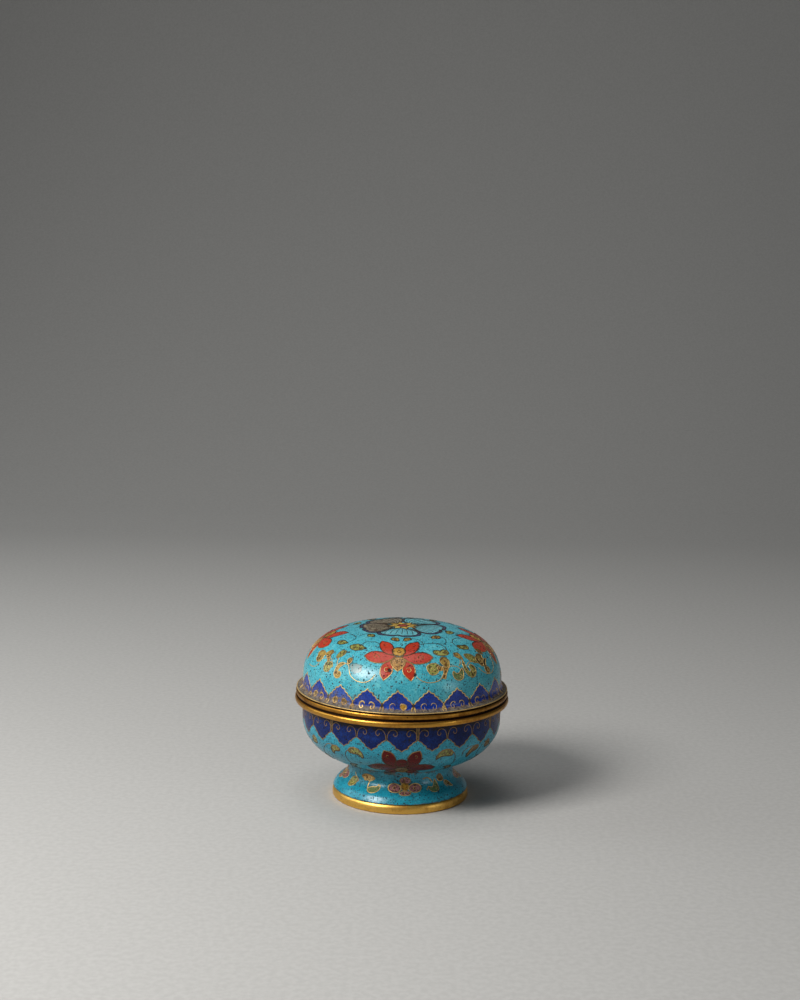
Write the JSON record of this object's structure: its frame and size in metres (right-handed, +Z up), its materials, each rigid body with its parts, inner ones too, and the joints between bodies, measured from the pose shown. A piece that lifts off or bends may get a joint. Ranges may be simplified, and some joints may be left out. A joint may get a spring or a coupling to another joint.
{
  "type": "cloisonne enamel box",
  "caption": "Round covered box of cloisonne enamel on a splayed foot, with gilt bronze mouth bands and foot ring and a domed lift-off cover.",
  "frame": {"origin": "centre of the foot ring's underside, where the box stands", "axes": "+Z up along the box's axis of revolution; -Y is the front, which shows one whole lotus blossom of the cover"},
  "size_m": [0.12, 0.12, 0.0968],
  "materials": {
    "cloisonne_enamel": "gloss",
    "gilt_bronze": "satin"
  },
  "bodies": {
    "root": {"cover": "cloisonne_enamel", "cover_rim": "gilt_bronze", "bowl": "cloisonne_enamel", "bowl_rim": "gilt_bronze", "foot": "cloisonne_enamel", "foot_ring": "gilt_bronze"}
  },
  "joints": []
}
